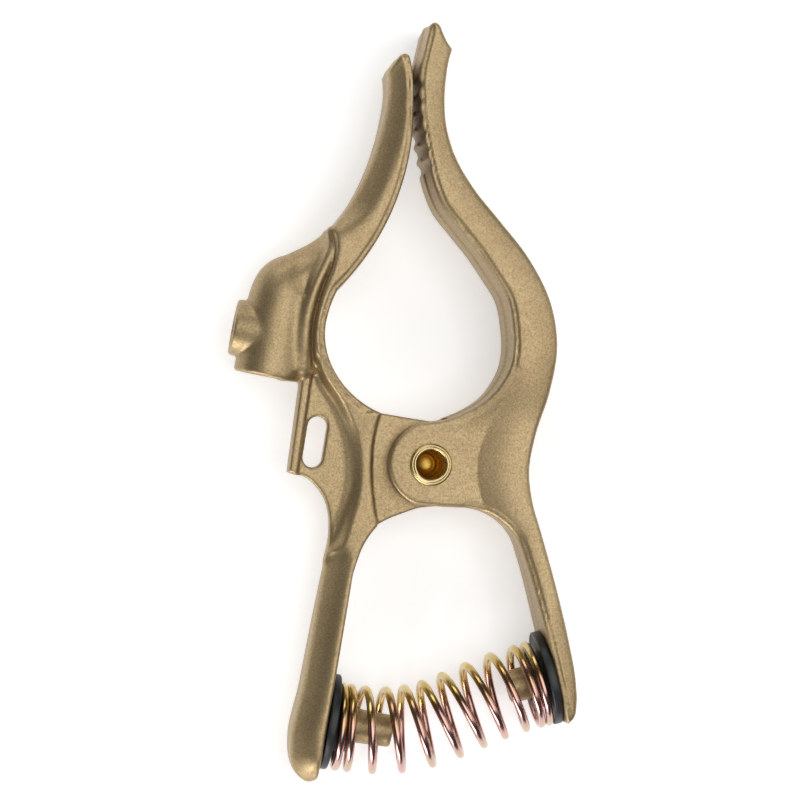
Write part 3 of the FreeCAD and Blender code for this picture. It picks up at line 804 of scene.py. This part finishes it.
class Shader:
    """A material's node tree, built a node at a time."""

    def __init__(self, name):
        self.material = bpy.data.materials.new(name)
        self.material.use_nodes = True
        self.tree = self.material.node_tree
        self.surface = self.tree.nodes["Principled BSDF"]
        self.place = self.add("ShaderNodeTexCoord").outputs["Object"]

    def add(self, kind, **settings):
        node = self.tree.nodes.new(kind)
        for key, value in settings.items():
            setattr(node, key, value)
        return node

    def link(self, source, target):
        self.tree.links.new(source, target)

    def noise(self, scale, detail=4.0, roughness=0.6):
        node = self.add("ShaderNodeTexNoise")
        node.inputs["Scale"].default_value = scale
        node.inputs["Detail"].default_value = detail
        node.inputs["Roughness"].default_value = roughness
        self.link(self.place, node.inputs["Vector"])
        return node.outputs["Fac"]

    def ramp(self, source, stops):
        node = self.add("ShaderNodeValToRGB")
        elements = node.color_ramp.elements
        while len(elements) < len(stops):
            elements.new(0.5)
        for element, (place, colour) in zip(elements, stops):
            element.position = place
            element.color = (*colour, 1)
        self.link(source, node.inputs["Fac"])
        return node.outputs["Color"]

    def mix(self, share, a, b, mode="MIX"):
        node = self.add("ShaderNodeMix", data_type="RGBA", blend_type=mode)
        for value, socket in ((share, node.inputs[0]), (a, node.inputs[6]), (b, node.inputs[7])):
            if isinstance(value, (int, float)):
                socket.default_value = value
            elif isinstance(value, tuple):
                socket.default_value = (*value, 1)
            else:
                self.link(value, socket)
        return node.outputs[2]

    def remap(self, source, low, high, to_low, to_high):
        node = self.add("ShaderNodeMapRange")
        for socket, value in zip(node.inputs[1:5], (low, high, to_low, to_high)):
            socket.default_value = value
        self.link(source, node.inputs[0])
        return node.outputs[0]

    def bump(self, heights, strength, distance):
        """Stacks height maps, coarsest first, into the surface's normal."""
        before = None
        for height, power, depth in zip(heights, strength, distance):
            node = self.add("ShaderNodeBump")
            node.inputs["Strength"].default_value = power
            node.inputs["Distance"].default_value = depth
            self.link(height, node.inputs["Height"])
            if before is not None:
                self.link(before, node.inputs["Normal"])
            before = node.outputs["Normal"]
        self.link(before, self.surface.inputs["Normal"])

    def set(self, **values):
        for key, value in values.items():
            socket = self.surface.inputs[key.replace("_", " ")]
            if isinstance(value, (int, float)):
                socket.default_value = value
            elif isinstance(value, tuple):
                socket.default_value = (*value, 1)
            else:
                self.link(value, socket)


def cast_brass():
    """Blasted casting: matt tan brass with fine grain and faint cloudy patches, lighter on sharp outer
    edges, with painted shade in creases.
    """
    look = Shader("blasted_cast_brass")
    grain = look.noise(3200, 3.0, 0.7)
    speckle = look.noise(1900, 4.0, 0.75)
    clouds = look.noise(60, 5.0, 0.6)
    patch = look.ramp(clouds, [(0.3, (0.40, 0.292, 0.155)), (0.7, (0.45, 0.337, 0.187))])
    grit = look.ramp(speckle, [(0.32, (0.6, 0.56, 0.5)), (0.5, (0.97, 0.97, 0.96)),
                               (0.7, (1.35, 1.33, 1.28))])
    colour = look.mix(0.8, patch, grit, "MULTIPLY")
    bend = look.add("ShaderNodeNewGeometry").outputs["Pointiness"]
    # Lighter colour on sharp outer edges
    colour = look.mix(look.remap(bend, 0.52, 0.57, 0.0, 0.45), colour, (0.68, 0.54, 0.34))
    # Painted shade: the colour darkens in creases and hollows
    colour = look.mix(look.remap(bend, 0.485, 0.44, 0.0, 0.6), colour, (0.15, 0.1, 0.055))
    look.set(Base_Color=colour, Metallic=0.85, Roughness=look.remap(speckle, 0.3, 0.7, 0.5, 0.38))
    look.bump([clouds, speckle, grain], [0.15, 0.6, 0.35], [0.0005, 0.00009, 0.00004])
    return look.material


def rivet_brass():
    """Pressed yellow brass, polished, with faint smudges and painted shade, darker amber deeper down its
    bore.
    """
    look = Shader("polished_rivet_brass")
    smudge = look.noise(260, 4.0, 0.6)
    fine = look.noise(3500, 2.0, 0.6)
    colour = look.ramp(smudge, [(0.3, (0.58, 0.44, 0.2)), (0.7, (0.72, 0.58, 0.3))])
    split = look.add("ShaderNodeSeparateXYZ")
    look.link(look.place, split.inputs[0])
    # Painted shade: the colour turns darker amber deeper down the bore
    deep = look.remap(split.outputs["Z"], EAR_FACE * MM, (EAR_FACE - 2.5) * MM, 0.0, 0.9)
    colour = look.mix(deep, colour, (0.5, 0.29, 0.04))
    look.set(Base_Color=colour, Metallic=1.0, Roughness=look.remap(smudge, 0.3, 0.7, 0.22, 0.34))
    look.bump([smudge, fine], [0.15, 0.12], [0.0002, 0.00003])
    return look.material


def plated_wire():
    """Yellow zinc plating with painted reflection: olive gold on the upper side of each turn, through
    bronze to rose below.
    """
    look = Shader("iridescent_zinc_wire")
    film = look.noise(160, 3.0, 0.55)
    fine = look.noise(1800, 3.0, 0.6)
    # Painted reflection: gold on the upper side of each turn, rose below, with stray noise on top
    height = look.add("ShaderNodeAttribute", attribute_name="coil_height").outputs["Fac"]
    level = look.remap(height, -1.0, 1.0, 0.0, 1.0)
    stray = look.remap(film, 0.3, 0.7, -0.18, 0.18)
    add = look.add("ShaderNodeMath", operation="ADD")
    look.link(level, add.inputs[0])
    look.link(stray, add.inputs[1])
    colour = look.ramp(add.outputs[0], [
        (0.05, (0.60, 0.44, 0.34)), (0.22, (0.66, 0.40, 0.38)), (0.5, (0.56, 0.33, 0.28)),
        (0.72, (0.52, 0.31, 0.16)), (0.88, (0.58, 0.42, 0.13)), (0.98, (0.66, 0.53, 0.26))])
    look.set(Base_Color=colour, Metallic=1.0, Roughness=look.remap(fine, 0.3, 0.7, 0.19, 0.25))
    look.bump([fine], [0.06], [0.00003])
    return look.material


def black_cup():
    """Satin black moulded plastic with a faint moulded grain and dusty patches."""
    look = Shader("black_moulded_cup")
    grain = look.noise(1500, 4.0, 0.65)
    dust = look.noise(140, 4.0, 0.6)
    colour = look.ramp(dust, [(0.35, (0.006, 0.006, 0.007)), (0.75, (0.022, 0.022, 0.023))])
    look.set(Base_Color=colour, Metallic=0.0, Roughness=look.remap(dust, 0.3, 0.7, 0.34, 0.5))
    look.bump([grain], [0.3], [0.00006])
    return look.material


def black_oxide():
    """Oiled black-oxide steel, worn in patches."""
    look = Shader("black_oxide_screw")
    wear = look.noise(420, 5.0, 0.7)
    fine = look.noise(2200, 3.0, 0.6)
    colour = look.ramp(wear, [(0.4, (0.028, 0.028, 0.031)), (0.72, (0.12, 0.115, 0.11))])
    look.set(Base_Color=colour, Metallic=0.9, Roughness=look.remap(wear, 0.3, 0.7, 0.42, 0.27))
    look.bump([fine], [0.25], [0.00005])
    return look.material


def paint(piece, material):
    piece.data.materials.clear()
    piece.data.materials.append(material)


# ---- Assembly ----------------------------------------------------------------------------------

def fit_piece(piece, node, body, material):
    """Paints a piece and lets it stand for its CAD node on that node's body."""
    paint(piece, material)
    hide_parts(node)
    if body is not None:
        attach(piece, body)


brass = cast_brass()
cup_black = black_cup()
fit_piece(left_casting(), "left_arm", "cable_arm", brass)
fit_piece(right_casting(), "right_arm", "fork_arm", brass)
fit_piece(make_cup("spring_cup_left_black", LEFT_SEAT, LEFT_OUT), "spring_cup_left", "cable_arm",
          cup_black)
fit_piece(make_cup("spring_cup_right_black", RIGHT_SEAT, RIGHT_OUT), "spring_cup_right", "fork_arm",
          cup_black)
fit_piece(make_rivet(), "pivot_rivet", "fork_arm", rivet_brass())
fit_piece(make_set_screw(), "cable_set_screw", "set_screw", black_oxide())

spring, spring_start, spring_end = make_spring()
fit_piece(spring, "compression_spring", None, plated_wire())
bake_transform(spring)


# ---- Studio ------------------------------------------------------------------------------------

FLOOR_GAP = 0.05
FLOOR_Z = cad_bounds[0][2] / MM - FLOOR_GAP
CAMERA_DISTANCE = 650.0
CAMERA_YAW = math.radians(6.4)
PICTURE_CENTRE = PIVOT + (-9.1, 17.7)
PICTURE_WIDTH = 216.6
NEAR_FACE = 12.0
SENSOR = 36.0
FLOOR_REACH = 4.0
GLOW = 0.5
GLOW_FULL_AT = 0.16
GLOW_GONE_AT = 0.5
WORLD_GLOW = 0.06
# Each soft box: name, place, what it is aimed at, size and watts
LIGHTS = [
    ("right_key", (0.75, 0.15, 0.6), (0, 0, 0), (0.6, 1.0), 1.9),
    ("overhead", (0.2, 0.08, 1.25), (0, 0, 0), (1.3, 1.0), 8.2),
    ("top_fill", (-0.25, 0.9, 0.35), (0, 0.02, 0), (0.9, 0.4), 2.4),
    ("low_fill", (-0.45, -0.85, 0.3), (0, 0, 0), (0.8, 0.4), 6.5),
]


def make_floor():
    """Pale floor with a glow round the part, which its side walls reflect."""
    mesh = bpy.data.meshes.new("floor")
    reach = FLOOR_REACH
    corners = [(-reach, -reach, 0), (reach, -reach, 0), (reach, reach, 0), (-reach, reach, 0)]
    mesh.from_pydata(corners, [], [(0, 1, 2, 3)])
    floor = bpy.data.objects.new("floor", mesh)
    floor.location = (0, 0, FLOOR_Z * MM)
    bpy.context.scene.collection.objects.link(floor)
    look = Shader("pale_paper")
    cloud = look.noise(3, 2.0, 0.5)
    paper = look.ramp(cloud, [(0.3, (0.9, 0.9, 0.9)), (0.7, (0.92, 0.92, 0.92))])
    away = look.add("ShaderNodeVectorMath", operation="LENGTH")
    look.link(look.place, away.inputs[0])
    glow = look.remap(away.outputs["Value"], GLOW_FULL_AT, GLOW_GONE_AT, GLOW, 0.0)
    look.set(Base_Color=paper, Roughness=0.9, Emission_Color=paper, Emission_Strength=glow)
    floor.data.materials.append(look.material)


def make_light(name, place, aim, size, power):
    data = bpy.data.lights.new(name, "AREA")
    data.shape = "RECTANGLE"
    data.size, data.size_y = size
    data.energy = power
    light = bpy.data.objects.new(name, data)
    light.location = place
    direction = Vector(aim) - Vector(place)
    light.rotation_mode = "QUATERNION"
    light.rotation_quaternion = direction.to_track_quat("-Z", "Y")
    bpy.context.scene.collection.objects.link(light)


def make_world():
    world = bpy.data.worlds.new("studio")
    world.use_nodes = True
    background = world.node_tree.nodes["Background"]
    background.inputs["Color"].default_value = (0.93, 0.96, 1.0, 1)
    background.inputs["Strength"].default_value = WORLD_GLOW
    bpy.context.scene.world = world


def make_camera():
    data = bpy.data.cameras.new("camera")
    data.sensor_width = SENSOR
    data.lens = SENSOR * CAMERA_DISTANCE / PICTURE_WIDTH
    data.dof.use_dof = False
    data.clip_start = 0.05
    data.clip_end = 10
    camera = bpy.data.objects.new("camera", data)
    back = Vector((-math.sin(CAMERA_YAW), 0, math.cos(CAMERA_YAW)))
    right = Vector((0, 1, 0)).cross(back).normalized()
    up = back.cross(right)
    turn = Matrix((right, up, back)).transposed()
    target = Vector(flat_point(PICTURE_CENTRE, NEAR_FACE))
    camera.matrix_world = Matrix.Translation((target + back * CAMERA_DISTANCE) * MM) @ turn.to_4x4()
    bpy.context.scene.collection.objects.link(camera)
    bpy.context.scene.camera = camera


make_floor()
make_world()
for light_values in LIGHTS:
    make_light(*light_values)
make_camera()
bpy.context.scene.view_settings.view_transform = "Standard"
